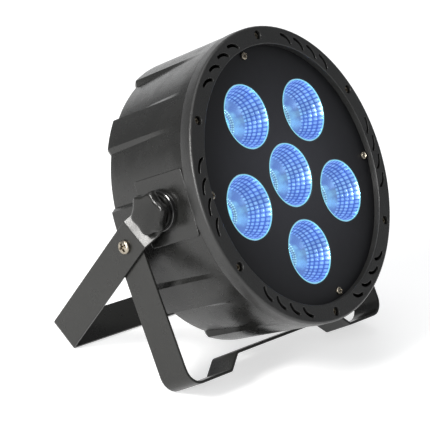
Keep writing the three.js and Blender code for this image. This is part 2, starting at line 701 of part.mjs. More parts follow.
function starKnob(side) {
  const outline = range(48).map((index) => {
    const angle = 7.5 * index;
    const wave = Math.cos(radians(knob.lobes * angle));
    return polar(knob.radius - knob.flute * (0.5 - 0.5 * wave) ** 0.7, angle);
  });
  const geometry = new THREE.ExtrudeGeometry(new THREE.Shape(outline), {
    depth: knob.length - 2, bevelEnabled: true, bevelThickness: 1, bevelSize: 0.9,
    bevelOffset: -0.9, bevelSegments: 1,
  });
  geometry.translate(0, 0, 1);
  geometry.rotateY(Math.PI / 2);
  const start = knobSeat + knob.hubLength;
  const grip = solid(geometry).translate(start, 0, 0);
  const hub = crossBar(knob.hub, knobSeat, start + 1, 0, 0, 24);
  const boreEnd = knobSeat + knob.studReach + GAP;
  const bore = crossBar(knob.stud + GAP, knobSeat - 1, boreEnd, 0, 0);
  const right = cut(joined([grip, hub]), [bore]);
  const shape = side < 0 ? right.rotate([0, 0, 180]) : right;
  return piece(`knob_${sideName(side)}`, shape, colour.knob, 0.2, 0);
}

// ---------------------------------------------------------------- assembly

function placed(object, x, y, z) {
  object.position.set(x, y, z);
  return object;
}

function bezelScrews() {
  return bezelScrewAngles.map((angle, index) => {
    const shape = screw(2.8, 1.9, 1.5, 16);
    const mesh = piece(`bezel_screw_${index + 1}`, shape, colour.nickel, 0.35, 1);
    const { x, y } = polar(bezel.screwCircle, angle);
    return placed(mesh, x, bezel.wellDepth - GAP, y);
  });
}

function panelScrews() {
  return panelScrewAngles.map((angle, index) => {
    const shape = screw(2.9, 1.7, 1.5, 12);
    const mesh = piece(`panel_screw_${index + 1}`, shape, colour.nickel, 0.35, 1);
    const { x, y } = polar(panel.screwCircle, angle);
    return placed(mesh, x, panel.front - GAP, y);
  });
}

function rearScrews() {
  return rearScrewAngles.map((angle, index) => {
    const shape = screw(3, 1.7, 1.5, 8).rotate([0, 0, 180]);
    const mesh = piece(`rear_cover_screw_${index + 1}`, shape, colour.nickel, 0.35, 1);
    const { x, y } = polar(rear.screwCircle, angle);
    return placed(mesh, x, coverFace + GAP, y);
  });
}

const lean = radians(main.lean);
const pivotHeight = main.reach * Math.cos(lean) + (yoke.strap / 2) * Math.sin(lean);
const standHeight = pivotHeight - stand.offset * Math.cos(lean);
const standSpan = Math.hypot(stand.reach, yoke.strap / 2);
const standLean = THREE.MathUtils.radToDeg(
  Math.atan2(yoke.strap / 2, stand.reach) + Math.acos(standHeight / standSpan));

const canGroup = new THREE.Group();
const canBody = new THREE.Group();
canBody.position.set(0, -can.pivotDepth, 0);
canBody.add(
  frontBezel(), ...bezelScrews(), frontPanel(), ...panelScrews(),
  ...lampCentres.flatMap((_, index) => [reflector(index), led(index)]),
  ledBoard(), heatSink(), housing(), rearCover(), ...rearScrews(), powerSupply(), controlBoard(),
  displayWindow(), ...range(buttons.count).map(menuButton), dmxIn(), dmxOut(), powerInlet(),
  fuseHolder(), safetyEye());
canGroup.add(canBody);
for (const side of [-1, 1]) {
  canGroup.add(pivotWasher(side), threadedInsert(side), knobStud(side), starKnob(side));
}
canGroup.rotation.x = radians(-tilt);

const standGroup = new THREE.Group();
standGroup.add(standYoke(), standNut(-1), standNut(1));
standGroup.position.set(0, 0, -stand.offset);
standGroup.rotation.x = radians(-standLean - main.lean);

const yokeGroup = new THREE.Group();
yokeGroup.add(mainYoke(), standScrew(-1), standScrew(1), standGroup);
yokeGroup.rotation.x = lean;

const assembly = new THREE.Group();
assembly.add(canGroup, yokeGroup);
assembly.position.set(0, 0, pivotHeight);

const light = new THREE.Group();
light.name = 'par_can_light';
light.add(assembly);
light.updateMatrixWorld(true);
const bounds = new THREE.Box3().setFromObject(light, true);
assembly.position.y -= (bounds.min.y + bounds.max.y) / 2;
assembly.position.z -= bounds.min.z;

export default light;
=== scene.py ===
"""Looks of a flat round LED par light on its two strap yokes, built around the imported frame.

Local frames are in millimetres: the can frame has X to the right, Y the depth behind the bezel's
face and Z up the face; a yoke frame has its pivot at the origin and its arms down -Z.
"""

import json
import math

import bmesh
import bpy
from mathutils import Matrix, Vector, geometry


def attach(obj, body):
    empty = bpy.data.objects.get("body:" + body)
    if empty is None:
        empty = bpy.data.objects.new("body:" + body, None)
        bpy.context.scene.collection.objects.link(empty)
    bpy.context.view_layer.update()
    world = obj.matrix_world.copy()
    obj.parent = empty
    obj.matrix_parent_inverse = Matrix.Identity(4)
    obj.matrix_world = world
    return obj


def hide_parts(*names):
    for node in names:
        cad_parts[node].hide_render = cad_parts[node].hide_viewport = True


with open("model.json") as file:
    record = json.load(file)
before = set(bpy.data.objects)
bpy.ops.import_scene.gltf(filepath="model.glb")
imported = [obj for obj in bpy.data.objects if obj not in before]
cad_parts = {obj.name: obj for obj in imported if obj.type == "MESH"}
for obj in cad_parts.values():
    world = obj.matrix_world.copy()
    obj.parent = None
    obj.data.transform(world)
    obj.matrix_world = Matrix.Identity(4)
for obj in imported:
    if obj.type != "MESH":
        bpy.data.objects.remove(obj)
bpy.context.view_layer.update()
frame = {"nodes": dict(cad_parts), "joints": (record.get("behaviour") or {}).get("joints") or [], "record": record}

MM = 0.001

# ---------------------------------------------------------------- the frame's own places

joints = {joint["name"]: joint for joint in frame["joints"]}
tilt_pivot = Vector(joints["housing_tilt"]["pos_m"])
stand_pivot = Vector(joints["stand_swing"]["pos_m"])
depth_axis = -Vector(joints["menu_button_1_press"]["axis"]).normalized()

# Millimetres, as in the CAD.
PIVOT_DEPTH = 38
STRAP = 25
STRAP_THICKNESS = 2
STRAP_SCREW_HOLE = 2.7
MAIN_FACE, MAIN_PIVOT_FACE, MAIN_REACH = 121.3, 114.8, 132.2
JOGGLE_START, JOGGLE_END = -11.5, -21.8
CLAMP_HOLE, PIVOT_HOLE = 6.25, 4.3
STAND_FACE, STAND_OFFSET, STAND_REACH = 118.8, 34.4, 106
RAISE_HEIGHT, RAISE_OUTER, RAISE_INNER = 10.5, 73, 61
BEZEL_SCREW_CIRCLE, PANEL_SCREW_CIRCLE, REAR_SCREW_CIRCLE = 103, 91.8, 88
PANEL_FRONT, PANEL_BACK, PANEL_RADIUS = 5.5, 7.5, 98.7
COLLAR_RADIUS, RAISED_DROP, RECESS_DROP = 109.2, 2.2, 4
COLLAR, CAN_DEPTH = 16, 88
PAD_FACE, PAD_HALF, PAD_DEPTH, PAD_LENGTH = 108.2, 24, 33.5, 22.5
WASHER_SEAT, KNOB_SEAT, KNOB_RADIUS = 108.5, 115.1, 15.8
COVER_FACE, COVER_RADIUS = 87.3, 93
SCREW_GAP = 0.3
REAR_SCREW_ANGLES = (45, 135, 225, 315)
PANEL_SCREW_ANGLES = (0, 100.1, 180, 280.1)


def place(origin, depth=None, up=None):
    """Matrix from a local frame in millimetres to the world; X stays along the tilt axis."""
    x_axis = Vector((1, 0, 0))
    if up is None:
        up = x_axis.cross(depth)
    else:
        depth = up.cross(x_axis)
    turn = Matrix((x_axis, depth, up)).transposed().to_4x4()
    return Matrix.Translation(origin) @ turn @ Matrix.Scale(MM, 4)


def shift(x=0, y=0, z=0):
    return Matrix.Translation((x, y, z))


def toward_side(side):
    """Turns the depth axis so that it points out along X on that side."""
    return Matrix.Rotation(math.radians(-90 * side), 4, "Z")


PIVOT = place(tilt_pivot, depth=depth_axis)
CAN = PIVOT @ shift(y=-PIVOT_DEPTH)
MAIN = place(tilt_pivot, up=(tilt_pivot - stand_pivot).normalized())
foot_span = math.hypot(STAND_REACH, STRAP / 2)
stand_lean = math.atan2(STRAP / 2, STAND_REACH) + math.acos(stand_pivot.z / MM / foot_span)
STAND = place(stand_pivot, up=Vector((0, math.sin(stand_lean), math.cos(stand_lean))))

# ---------------------------------------------------------------- camera, floor and light


def add_camera():
    data = bpy.data.cameras.new("camera")
    data.sensor_width = 36
    data.lens = 141.8
    data.clip_start = 0.05
    camera = bpy.data.objects.new("camera", data)
    bpy.context.scene.collection.objects.link(camera)
    target = Vector((-0.0214, 0.0131, 0.0966))
    azimuth, elevation, roll, distance = (math.radians(-53.86), math.radians(19.92),
                                          math.radians(9.45), 1.241)
    back = Vector((math.sin(azimuth) * math.cos(elevation),
                   -math.cos(azimuth) * math.cos(elevation), math.sin(elevation)))
    look = (-back).to_track_quat("-Z", "Y").to_matrix().to_4x4()
    camera.matrix_world = (Matrix.Translation(target + distance * back) @ look
                           @ Matrix.Rotation(roll, 4, "Z"))
    bpy.context.scene.camera = camera


def add_light(name, position, target, size, power, tint=(1, 1, 1)):
    data = bpy.data.lights.new(name, "AREA")
    data.shape = "RECTANGLE"
    data.size, data.size_y = size
    data.energy = power
    data.color = tint
    light = bpy.data.objects.new(name, data)
    bpy.context.scene.collection.objects.link(light)
    aim = (Vector(target) - Vector(position)).to_track_quat("-Z", "Y").to_matrix().to_4x4()
    light.matrix_world = Matrix.Translation(position) @ aim


def add_studio():
    scene = bpy.context.scene
    scene.view_settings.view_transform = "Standard"
    world = bpy.data.worlds.new("studio")
    world.use_nodes = True
    world.node_tree.nodes["Background"].inputs["Color"].default_value = (0.95, 0.97, 1, 1)
    world.node_tree.nodes["Background"].inputs["Strength"].default_value = 0.32
    scene.world = world
    mesh = bpy.data.meshes.new("floor")
    half = 6
    mesh.from_pydata([(-half, -half, 0), (half, -half, 0), (half, half, 0), (-half, half, 0)],
                     [], [(0, 1, 2, 3)])
    floor = bpy.data.objects.new("floor", mesh)
    scene.collection.objects.link(floor)
    paper = bpy.data.materials.new("paper")
    paper.use_nodes = True
    shader = paper.node_tree.nodes["Principled BSDF"]
    shader.inputs["Base Color"].default_value = (0.62, 0.62, 0.62, 1)
    shader.inputs["Emission Color"].default_value = (1, 1, 1, 1)
    shader.inputs["Emission Strength"].default_value = 0.62
    shader.inputs["Roughness"].default_value = 0.9
    mesh.materials.append(paper)
    add_light("overhead", (-0.25, 0.45, 1.7), (0, 0, 0.1), (1.5, 1.2), 11)
    add_light("left", (-1.5, 0.16, 1.0), (-0.12, 0, 0.11), (0.5, 0.5), 34, (1, 0.99, 0.97))
    add_light("shoulder", (-1.6, -0.15, 0.35), (0, 0, 0.12), (0.35, 0.6), 13)
    add_light("behind", (1.5, 2.2, 0.7), (0, 0, 0.2), (2.2, 1.0), 7)


add_camera()
add_studio()

# ---------------------------------------------------------------- materials


def nodes_of(material):
    material.use_nodes = True
    tree = material.node_tree
    return tree, tree.nodes["Principled BSDF"]


def add_node(tree, kind, inputs=None, **settings):
    node = tree.nodes.new(kind)
    for name, value in settings.items():
        setattr(node, name, value)
    for name, value in (inputs or {}).items():
        node.inputs[name].default_value = value
    return node


def noise_at(tree, scale, detail=2, roughness=0.5, stretch=None):
    """Noise over the piece's own coordinates, in metres; stretch lengthens it along an axis."""
    coordinates = add_node(tree, "ShaderNodeTexCoord").outputs["Object"]
    if stretch:
        mapping = add_node(tree, "ShaderNodeMapping", {"Scale": stretch})
        tree.links.new(coordinates, mapping.inputs["Vector"])
        coordinates = mapping.outputs["Vector"]
    noise = add_node(tree, "ShaderNodeTexNoise",
                     {"Scale": scale, "Detail": detail, "Roughness": roughness})
    tree.links.new(coordinates, noise.inputs["Vector"])
    return noise.outputs["Fac"]


def spread(tree, value, low, high, start=0.3, end=0.7):
    """Value taken from one range to another."""
    node = add_node(tree, "ShaderNodeMapRange", {"From Min": start, "From Max": end,
                                                 "To Min": low, "To Max": high})
    tree.links.new(value, node.inputs["Value"])
    return node.outputs["Result"]


def blended(tree, factor, first, second):
    """Colour between two colours; a colour is a triple or a socket."""
    mix = add_node(tree, "ShaderNodeMix", data_type="RGBA")
    tree.links.new(factor, mix.inputs["Factor"])
    for name, colour in (("A", first), ("B", second)):
        socket = [s for s in mix.inputs if s.name == name and s.type == "RGBA"][0]
        if isinstance(colour, bpy.types.NodeSocket):
            tree.links.new(colour, socket)
        else:
            socket.default_value = (*colour, 1)
    return [s for s in mix.outputs if s.type == "RGBA"][0]


def finish_of(name, colour, roughness, metallic=0.0, vary=0.12, grain=(1800, 0.1), cloud=22,
              rough_vary=0.06, stretch=None, specular=0.5, coat=0.0, dust_and_top_light=0.0, painted_edge_shade=None):
    """Material with cloudy colour, grain in its bump and uneven roughness.

    grain is the bump's scale per metre and its strength; dust_and_top_light pales the faces that look up, as dusty
    tops and as painted light from above; painted_edge_shade is a centre and the distances from it between which
    the colour darkens as painted shade.
    """
    material = bpy.data.materials.new(name)
    tree, shader = nodes_of(material)
    shader.inputs["Metallic"].default_value = metallic
    shader.inputs["Specular IOR Level"].default_value = specular
    shader.inputs["Coat Weight"].default_value = coat
    shader.inputs["Coat Roughness"].default_value = 0.08
    clouds = noise_at(tree, cloud, 3)
    speckle = noise_at(tree, grain[0], 2, stretch=stretch)
    dark = tuple(c * (1 - vary) for c in colour)
    light = tuple(c * (1 + vary) for c in colour)
    tone = blended(tree, spread(tree, clouds, 0, 1), dark, light)
    fleck = blended(tree, spread(tree, speckle, 0, 0.5, 0.45, 0.75), tone,
                    tuple(min(1, c * 1.5 + 0.004) for c in colour))
    # Dusty tops and painted light from above: faces that look up get a paler colour.
    if dust_and_top_light:
        normal = add_node(tree, "ShaderNodeNewGeometry").outputs["Normal"]
        split = add_node(tree, "ShaderNodeSeparateXYZ")
        tree.links.new(normal, split.inputs["Vector"])
        facing_up = spread(tree, split.outputs["Z"], 0, dust_and_top_light, 0.4, 1)
        fleck = blended(tree, facing_up, fleck, tuple(c * 1.6 + 0.02 for c in colour))
    # Painted shade: the colour darkens away from the centre, between the two distances.
    if painted_edge_shade:
        centre, near, far = painted_edge_shade
        away = add_node(tree, "ShaderNodeVectorMath", operation="DISTANCE")
        place_in = add_node(tree, "ShaderNodeTexCoord").outputs["Object"]
        tree.links.new(place_in, away.inputs[0])
        away.inputs[1].default_value = centre
        fleck = blended(tree, spread(tree, away.outputs["Value"], 0, 1, near, far), fleck,
                        tuple(c * 0.12 for c in colour))
    tree.links.new(fleck, shader.inputs["Base Color"])
    patch = noise_at(tree, cloud * 3.7, 4)
    tree.links.new(spread(tree, patch, roughness - rough_vary, roughness + rough_vary),
                   shader.inputs["Roughness"])
    bump = add_node(tree, "ShaderNodeBump", {"Strength": grain[1], "Distance": 0.0004})
    tree.links.new(speckle, bump.inputs["Height"])
    tree.links.new(bump.outputs["Normal"], shader.inputs["Normal"])
    return material


def reflector_painted_light():
    """Metallised bowl with the light of its blue LED painted on and glowing as emission: deep blue facets with
    painted light on them, painted cyan light near the rim, on the left wall and deep near the LED.
    """
    material = bpy.data.materials.new("lit_reflector")
    tree, shader = nodes_of(material)
    shader.inputs["Metallic"].default_value = 1
    shader.inputs["Roughness"].default_value = 0.22
    coordinates = add_node(tree, "ShaderNodeTexCoord").outputs["Object"]
    split = add_node(tree, "ShaderNodeSeparateXYZ")
    tree.links.new(coordinates, split.inputs["Vector"])
    # Painted light per facet: lighter facet centres, darker facet edges, and a brightness that differs from facet
    # to facet.
    facet_painted_light = add_node(tree, "ShaderNodeAttribute", attribute_name="facet_painted_light").outputs["Fac"]
    blue = blended(tree, spread(tree, facet_painted_light, 0, 1, 0, 1), (0.06, 0.115, 0.36),
                   (0.38, 0.60, 0.88))
    # Painted light: cyan on the bowl's left wall and deep in the bowl near the LED, broken into patches and
    # glints.
    left = spread(tree, split.outputs["X"], 1, 0, -0.019, -0.004)
    deep = spread(tree, split.outputs["Y"], 0, 1, 0.013, 0.022)
    patches = spread(tree, noise_at(tree, 110, 2), 0, 1, 0.42, 0.6)
    both = add_node(tree, "ShaderNodeMath", operation="MAXIMUM")
    tree.links.new(left, both.inputs[0])
    tree.links.new(deep, both.inputs[1])
    sparkle = add_node(tree, "ShaderNodeMath", operation="MULTIPLY")
    tree.links.new(both.outputs["Value"], sparkle.inputs[0])
    tree.links.new(patches, sparkle.inputs[1])
    glint = add_node(tree, "ShaderNodeMath", operation="MULTIPLY")
    tree.links.new(sparkle.outputs["Value"], glint.inputs[0])
    tree.links.new(spread(tree, facet_painted_light, 0.15, 1, 0.1, 0.8), glint.inputs[1])
    colour = blended(tree, glint.outputs["Value"], blue, (0.42, 0.86, 1.0))
    # Painted highlight along the rolled rim at the bowl's opening.
    rim = spread(tree, split.outputs["Y"], 1, 0, 0.0001, 0.0009)
    colour = blended(tree, rim, colour, (0.32, 0.80, 0.95))
    tree.links.new(colour, shader.inputs["Base Color"])
    # The painted colour also glows as emission, though the bowl is no lamp.
    tree.links.new(colour, shader.inputs["Emission Color"])
    shader.inputs["Emission Strength"].default_value = 0.66
    return material


def led_glow():
    """Lit blue LED: a yellow-white phosphor window washed with blue light."""
    material = bpy.data.materials.new("lit_led")
    tree, shader = nodes_of(material)
    clouds = noise_at(tree, 700, 2)
    colour = blended(tree, spread(tree, clouds, 0, 1), (0.12, 0.45, 1.0), (0.3, 0.75, 1.0))
    tree.links.new(colour, shader.inputs["Base Color"])
    tree.links.new(colour, shader.inputs["Emission Color"])
    shader.inputs["Emission Strength"].default_value = 1.1
    shader.inputs["Roughness"].default_value = 0.3
    return material


panel_centre = CAN @ Vector((0, PANEL_FRONT, 0))
looks = {
    # The housing and the straps are paler on faces that look up: dusty tops and painted light from above.
    "housing_plastic": finish_of("housing_satin", (0.0085, 0.0085, 0.008), 0.26,
                                 grain=(1500, 0.10), dust_and_top_light=0.06, specular=0.42),
    "bezel_plastic": finish_of("bezel_grained", (0.0115, 0.0115, 0.0112), 0.36,
                               grain=(1300, 0.5), vary=0.2),
    # Painted lamp glow and painted shade on the panel: a blue tint, lighter in the middle, darkening towards the
    # rim.
    "panel_black": finish_of("panel_black", (0.03, 0.031, 0.038), 0.42, grain=(2600, 0.06),
                             vary=0.12, specular=0.3, painted_edge_shade=(panel_centre, 0.02, 0.1)),
    "strap_paint": finish_of("strap_powder_coat", (0.0125, 0.0125, 0.0115), 0.3,
                             grain=(1100, 0.16), dust_and_top_light=0.06, specular=0.36),
    "nickel": finish_of("nickel_plate", (0.32, 0.285, 0.23), 0.28, 1, grain=(3000, 0.06)),
    "steel": finish_of("zinc_plate", (0.50, 0.50, 0.52), 0.36, 1, grain=(2200, 0.08)),
    "knob_plastic": finish_of("knob_gloss", (0.007, 0.007, 0.0065), 0.2, specular=0.3, cloud=70,
                              vary=0.5, grain=(900, 0.12), rough_vary=0.1),
    "washer_plastic": finish_of("washer_gloss", (0.008, 0.008, 0.008), 0.16, coat=0.5,
                                grain=(1500, 0.05)),
    "circuit_board": finish_of("solder_mask", (0.012, 0.11, 0.045), 0.35, grain=(900, 0.2),
                               cloud=180, vary=0.3),
    "bare_aluminium": finish_of("extruded_aluminium", (0.62, 0.63, 0.64), 0.35, 1,
                                grain=(500, 0.12), stretch=(3, 3, 0.1)),
    "cover_paint": finish_of("cover_powder_coat", (0.022, 0.022, 0.022), 0.45,
                             grain=(1200, 0.25)),
    "display_glass": finish_of("display_glass", (0.006, 0.009, 0.014), 0.07, coat=0.4,
                               grain=(300, 0.02), rough_vary=0.02),
    "button_plastic": finish_of("button_satin", (0.06, 0.06, 0.06), 0.42, grain=(1600, 0.15)),
    "connector_plastic": finish_of("connector_satin", (0.018, 0.018, 0.019), 0.38,
                                   grain=(1700, 0.12)),
    "brass": finish_of("brass", (0.62, 0.44, 0.20), 0.32, 1, grain=(2500, 0.06)),
    "reflector_metallised": reflector_painted_light(),
    "led_emitter": led_glow(),
}
slot_of_node = {row["node"]: row["material_slot"] for row in frame["record"]["subparts"]}
for node_name, node_object in frame["nodes"].items():
    node_object.data.materials.clear()
    node_object.data.materials.append(looks[slot_of_node[node_name]])

# ---------------------------------------------------------------- mesh making


class Mesher:
    """Gathers the points and faces of one piece, in a local frame in millimetres."""

    def __init__(self):
        self.points = []
        self.faces = []

    def ring(self, points):
        start = len(self.points)
        self.points.extend(Vector(point) for point in points)
        return list(range(start, len(self.points)))

    def join(self, rings, closed=True):
        """Quads between each ring and the next."""
        for first, second in zip(rings, rings[1:]):
            count = len(first)
            for index in range(count if closed else count - 1):
                after = (index + 1) % count
                self.faces.append((first[index], first[after], second[after], second[index]))

    def cap(self, ring):
        self.faces.append(tuple(ring))

    def sheet(self, loops):
        """Flat area at one depth, inside the first loop and outside the others."""
        flat = [index for loop in loops for index in loop]
        outlines = [[Vector((self.points[i].x, self.points[i].z, 0)) for i in loop]
                    for loop in loops]
        for triangle in geometry.tessellate_polygon(outlines):
            self.faces.append(tuple(flat[i] for i in triangle))


def circle(radius, depth, count, x=0, z=0):
    return [(x + radius * math.cos(turn), depth, z + radius * math.sin(turn))
            for turn in (2 * math.pi * index / count for index in range(count))]


def make(name, mesher, matrix, body, slot, replaced=(), sharp=32):
    """Makes the piece's object, with its mesh in world coordinates, and tells the frame of it."""
    mesh = bpy.data.meshes.new(name)
    mesh.from_pydata([matrix @ point for point in mesher.points], [], mesher.faces)
    return register(name, mesh, body, slot, replaced, sharp)


def register(name, mesh, body, slot, replaced=(), sharp=32):
    clean = bmesh.new()
    clean.from_mesh(mesh)
    bmesh.ops.remove_doubles(clean, verts=clean.verts, dist=2e-6)
    bmesh.ops.recalc_face_normals(clean, faces=clean.faces)
    clean.to_mesh(mesh)
    clean.free()
    mesh.shade_smooth()
    mesh.set_sharp_from_angle(angle=math.radians(sharp))
    mesh.materials.append(looks[slot])
    piece = bpy.data.objects.new(name, mesh)
    bpy.context.scene.collection.objects.link(piece)
    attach(piece, body)
    if replaced:
        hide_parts(*replaced)
    return piece


def rounding(radius, steps=4, support=0.15):
    """[inset, depth] pairs round an edge, from the face to the wall."""
    pairs = [(radius + support, 0)]
    for step in range(steps + 1):
        turn = math.radians(90 * step / steps)
        pairs.append((radius * (1 - math.sin(turn)), radius * (1 - math.cos(turn))))
    return pairs


def lathe(mesher, profile, count=64, x=0, z=0, close=False):
    """Rings of [radius, depth] pairs; a radius of 0 closes the piece with a cap."""
    rings = []
    for radius, depth in profile:
        rings.append(mesher.ring(circle(max(radius, 0.01), depth, count, x, z)))
    if close:
        rings.append(rings[0])
    mesher.join(rings)
    if not close:
        mesher.cap(rings[0])
        mesher.cap(rings[-1])
    return rings


def slab(mesher, outline, front, back, radius):
    """Plate of an outline that takes an inset, with a rounded edge on its front."""
    levels = [(inset, front + depth) for inset, depth in rounding(radius)] + [(0, back)]
    rings = [mesher.ring([(x, depth, z) for x, z in outline(inset)]) for inset, depth in levels]
    mesher.join(rings)
    mesher.sheet([rings[0]])
    mesher.sheet([rings[-1]])


def rounded_rectangle(half_x, half_z, corner, x=0, z=0, steps=5):
    def outline(inset):
        points = []
        radius = max(corner - inset, 0.02)
        for quarter, (sx, sz) in enumerate(((1, 1), (-1, 1), (-1, -1), (1, -1))):
            for step in range(steps + 1):
                turn = math.radians(90 * (quarter + step / steps))
                points.append((x + sx * (half_x - inset - radius) + radius * math.cos(turn),
                               z + sz * (half_z - inset - radius) + radius * math.sin(turn)))
        return points
    return outline


def round_outline(radius, x=0, z=0, count=32):
    def outline(inset):
        return [(px, pz) for px, _, pz in circle(radius - inset, 0, count, x, z)]
    return outline


def hole_edge(mesher, outline, front, back, radius):
    """Rounded rim and wall of a hole; returns its loops on the front and on the rear."""
    levels = [(-inset, front + depth) for inset, depth in rounding(radius)] + [(0, back)]
    rings = [mesher.ring([(x, depth, z) for x, z in outline(inset)]) for inset, depth in levels]
    mesher.join(rings)
    return rings[0], rings[-1]


# ---------------------------------------------------------------- bezel

BEZEL_SCREW_ANGLES = [90 - 60 * index for index in range(6)]

def polar(radius, degrees):
    return radius * math.cos(math.radians(degrees)), radius * math.sin(math.radians(degrees))


def vent_slot(centre):
    """Outline of a curved slot that sweeps from the rim towards the opening."""
    start = Vector(polar(104.3, centre + 2.8))
    middle = Vector(polar(103.9, centre - 1.12))
    end = Vector(polar(99.4, centre - 2.8))

    def at(t):
        point = (1 - t) ** 2 * start + 2 * t * (1 - t) * middle + t * t * end
        along = (2 * (1 - t) * (middle - start) + 2 * t * (end - middle)).normalized()
        return point, along, Vector((-along.y, along.x))

    def outline(inset):
        half = 1.15 - inset
        points = []
        for step in range(9):
            point, _, across = at(step / 8)
            points.append(point + half * across)
        for step in range(1, 5):
            point, along, across = at(1)
            turn = math.radians(180 * step / 5)
            points.append(point + half * (math.cos(turn) * across + math.sin(turn) * along))
        for step in range(9):
            point, _, across = at(1 - step / 8)
            points.append(point - half * across)
        for step in range(1, 5):
            point, along, across = at(0)
            turn = math.radians(180 * step / 5)
            points.append(point - half * (math.cos(turn) * across + math.sin(turn) * along))
        return [(point.x, point.y) for point in points]
    return outline


def add_bezel():
    outer, face_edge, opening, depth, skin, lip = 109.8, 107.7, 96, 10, 2.6, 5.2
    count = 240
    mesher = Mesher()
    shoulder = []
    for step in range(9):
        turn = math.radians(90 * step / 8)
        shoulder.append((face_edge + (outer - face_edge) * math.sin(turn),
                         2.4 * (1 - math.cos(turn))))
    inner_lip = [(opening + 0.8 - 0.8 * math.sin(math.radians(90 * step / 5)),
                  0.8 * (1 - math.cos(math.radians(90 * step / 5)))) for step in range(6)]
    outer_wall = [(face_edge - 0.2, 0), *shoulder, (outer, 2.6), (outer, depth - 0.5),
                  (outer - 0.15, depth - 0.15), (outer - 0.5, depth),
                  (outer - skin, depth), (outer - skin, skin)]
    inner_wall = [(opening + 1, 0), *inner_lip, (opening, lip), (opening + 1.9, lip),
                  (opening + 1.9, skin)]
    outer_rings = [mesher.ring(circle(r, d, count)) for r, d in outer_wall]
    inner_rings = [mesher.ring(circle(r, d, count)) for r, d in inner_wall]
    mesher.join(outer_rings)
    mesher.join(inner_rings)
    front_holes, rear_holes = [], []
    for angle in BEZEL_SCREW_ANGLES:
        for index in range(4):
            slot = vent_slot(angle - 30 + 8.15 * (index - 1.5))
            front, rear = hole_edge(mesher, slot, 0, skin, 0.4)
            front_holes.append(front)
            rear_holes.append(rear)
        x, z = polar(BEZEL_SCREW_CIRCLE, angle)
        front, floor = hole_edge(mesher, round_outline(3.4, x, z), 0, 4, 0.35)
        mesher.cap(floor)
        front_holes.append(front)
        collar = [mesher.ring(circle(3.9, d, 32, x, z)) for d in (skin, 4.6)]
        mesher.join(collar)
        mesher.cap(collar[1])
        rear_holes.append(collar[0])
    mesher.sheet([outer_rings[0], inner_rings[0], *front_holes])
    mesher.sheet([outer_rings[-1], inner_rings[-1], *rear_holes])
    make("bezel_ring", mesher, CAN, "housing", "bezel_plastic", ["front_bezel"])


# ---------------------------------------------------------------- screws


def phillips(mesher, radius, height, recess, shank, rings=14, spokes=48):
    """Domed pan head with a cross recess, its underside at depth 0 and its top at -height."""
    loops = []
    for ring in range(rings + 1):
        share = ring / rings
        r = radius * math.sin(math.radians(90 * share)) if share < 1 else radius
        dome = -height * (0.42 + 0.58 * math.sqrt(max(0.0, 1 - (r / radius) ** 2.4)))
        loop = []
        for index in range(spokes):
            turn = 2 * math.pi * index / spokes
            x, z = r * math.cos(turn), r * math.sin(turn)
            arm = 0.13 * radius
            across = min(abs(x), abs(z))
            along = max(abs(x), abs(z))
            inside = min((arm - across) / (0.09 * radius), (recess - along) / (0.16 * radius))
            sunk = max(0.0, min(1.0, inside + 0.5))
            loop.append((x, dome + sunk * 0.8 * height, z))
        loops.append(mesher.ring(loop))
    loops.append(mesher.ring(circle(radius, 0, spokes)))
    shank_radius, length = shank
    loops.append(mesher.ring(circle(shank_radius, 0, spokes)))
    loops.append(mesher.ring(circle(shank_radius, length, spokes)))
    mesher.join(loops)
    mesher.cap(loops[-1])


def add_screws():
    for index, angle in enumerate(BEZEL_SCREW_ANGLES):
        x, z = polar(BEZEL_SCREW_CIRCLE, angle)
        mesher = Mesher()
        phillips(mesher, 2.8, 1.9, 1.7, shank=(1.5, 16))
        turn = Matrix.Rotation(math.radians(37 * index), 4, "Y")
        make(f"bezel_phillips_{index + 1}", mesher, CAN @ shift(x, 3.7, z) @ turn, "housing",
             "nickel", [f"bezel_screw_{index + 1}"])
    for index, angle in enumerate(PANEL_SCREW_ANGLES):
        x, z = polar(PANEL_SCREW_CIRCLE, angle)
        mesher = Mesher()
        phillips(mesher, 2.9, 1.7, 1.8, shank=(1.5, 12))
        turn = Matrix.Rotation(math.radians(53 * index + 12), 4, "Y")
        make(f"panel_phillips_{index + 1}", mesher,
             CAN @ shift(x, PANEL_FRONT - SCREW_GAP, z) @ turn, "housing", "nickel",
             [f"panel_screw_{index + 1}"])
    for index, angle in enumerate(REAR_SCREW_ANGLES):
        x, z = polar(REAR_SCREW_CIRCLE, angle)
        mesher = Mesher()
        phillips(mesher, 3, 1.7, 1.9, shank=(1.5, 8))
        turn = Matrix.Rotation(math.radians(29 * index), 4, "Y") @ Matrix.Rotation(math.pi, 4, "Z")
        make(f"rear_phillips_{index + 1}", mesher,
             CAN @ shift(x, COVER_FACE + SCREW_GAP, z) @ turn, "housing", "nickel",
             [f"rear_cover_screw_{index + 1}"])
    for side, name in ((-1, "left"), (1, "right")):
        mesher = Mesher()
        phillips(mesher, 4.9, 3, 2.9, rings=22, spokes=72, shank=(2.5, 11.8))
        turn = toward_side(-side) @ Matrix.Rotation(math.radians(20), 4, "Y")
        seat = MAIN @ shift(side * (MAIN_FACE + SCREW_GAP), 0, -STAND_OFFSET)
        make(f"arm_phillips_{name}", mesher, seat @ turn, "main_yoke", "nickel",
             [f"stand_screw_{name}"])


# ---------------------------------------------------------------- front panel and lamps

LAMP_OPENING = 23.7
LAMPS = [(0, 0)] + [polar(56.7, 122.7 + 72 * index) for index in range(5)]


def add_panel():
    mesher = Mesher()
    rims = [mesher.ring(circle(PANEL_RADIUS, depth, 180)) for depth in (PANEL_FRONT, PANEL_BACK)]
    mesher.join(rims)
    fronts, rears = [rims[0]], [rims[1]]
    for x, z in LAMPS:
        opening = round_outline(LAMP_OPENING, x, z, 96)
        near, far = hole_edge(mesher, opening, PANEL_FRONT, PANEL_BACK, 0.5)
        fronts.append(near)
        rears.append(far)
    mesher.sheet(fronts)
    mesher.sheet(rears)
    make("lamp_panel", mesher, CAN, "housing", "panel_black", ["front_panel"])


